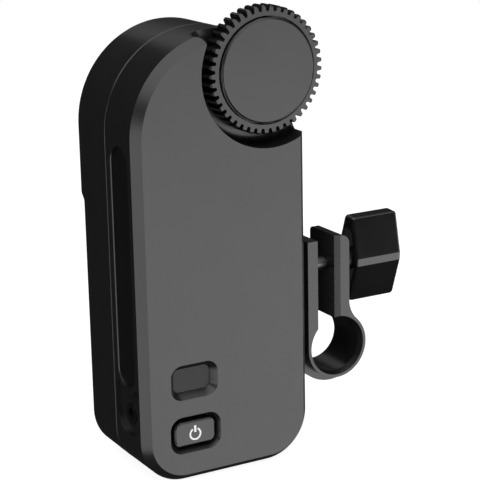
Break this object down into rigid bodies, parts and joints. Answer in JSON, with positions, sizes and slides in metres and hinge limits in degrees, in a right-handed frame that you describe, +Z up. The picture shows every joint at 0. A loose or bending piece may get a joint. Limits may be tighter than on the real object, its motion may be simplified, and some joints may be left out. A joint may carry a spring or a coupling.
{
  "type": "motorized focus module",
  "caption": "Battery powered lens motor with a toothed focus gear, split rod clamp with wing knob, power button, status window and a small side jack.",
  "frame": {"origin": "on the axis of the rod clamp's bore, halfway along the clamp", "axes": "+X to the right seen from the gear's side, towards the wing knob; +Y to the rear along the rod; +Z up"},
  "size_m": [0.0961, 0.0383, 0.1389],
  "materials": {
    "shell_black": "fine satin black coat",
    "clamp_black": "fine satin black coat",
    "gear_black": "satin black",
    "cap_black": "satin black",
    "inlay_black": "satin black",
    "button_black": "satin black with a white power symbol",
    "window_dark": "dark tinted, satin",
    "knob_black": "satin black",
    "plastic_white": "natural",
    "plastic_dark": "black",
    "steel": "plain steel",
    "screw_black": "black oxide steel",
    "brass": "plain brass",
    "plate_aluminium": "bare aluminium",
    "board_green": "green solder mask",
    "cell_blue": "wrapped cell",
    "led_white": "clear lens"
  },
  "bodies": {
    "case": {"battery": "cell_blue", "battery_tray": "plastic_dark", "board_screws": "steel", "case_screws": "screw_black", "circuit_board": "board_green", "foot_screws": "screw_black", "front_bearing": "steel", "front_shell": "shell_black", "gearbox_cover": "plate_aluminium", "gearbox_plate": "plate_aluminium", "gearbox_screws": "steel", "idler_pin": "steel", "jack_socket": "plastic_dark", "key_switch": "steel", "light_guide": "plastic_white", "motor_can": "steel", "motor_screws": "steel", "rear_bearing": "steel", "rear_shell": "shell_black", "rod_clamp": "clamp_black", "sensor_board": "board_green", "side_inlay": "inlay_black", "status_led": "led_white", "status_window": "window_dark"},
    "drive": {"focus_gear": "gear_black", "gear_cap": "cap_black", "gear_screw": "steel", "gear_shaft": "steel", "output_wheel": "plastic_white", "encoder_magnet": "steel"},
    "idler": {"idler_gear": "plastic_white"},
    "rotor": {"motor_shaft": "steel", "motor_pinion": "brass"},
    "button": {"power_button": "button_black", "switch_plunger": "plastic_dark"},
    "washer": {"thrust_washer": "clamp_black"},
    "knob": {"wing_knob": "knob_black", "knob_insert": "screw_black", "clamp_screw": "steel"}
  },
  "joints": [
    {"name": "gear_spin", "type": "hinge", "parent": "case", "child": "drive", "pos_m": [-0.0266, -0.00975, 0.0899], "axis": [0, -1, 0], "continuous": true},
    {"name": "idler_spin", "type": "hinge", "parent": "case", "child": "idler", "pos_m": [-0.03865, 0.00895, 0.07332], "axis": [0, -1, 0], "continuous": true},
    {"name": "rotor_spin", "type": "hinge", "parent": "case", "child": "rotor", "pos_m": [-0.04031, 0.00895, 0.05439], "axis": [0, -1, 0], "continuous": true},
    {"name": "button_press", "type": "slide", "parent": "case", "child": "button", "axis": [0, 1, 0], "range_m": [0, 0.0006], "stiffness_N_per_m": 1200, "springref_m": -0.0006},
    {"name": "clamp_travel", "type": "slide", "parent": "case", "child": "washer", "axis": [1, 0, 0], "range_m": [0, 0.0028]},
    {"name": "clamp_turn", "type": "hinge", "parent": "washer", "child": "knob", "pos_m": [0.0044, 0, 0.0251], "axis": [1, 0, 0], "range_deg": [0, 1441]}
  ],
  "couplings": [
    {"joint": "idler_spin", "follows": "gear_spin", "ratio": -0.36667},
    {"joint": "rotor_spin", "follows": "gear_spin", "ratio": 1.375},
    {"joint": "clamp_turn", "follows": "clamp_travel", "rad_per_m": 8976}
  ]
}
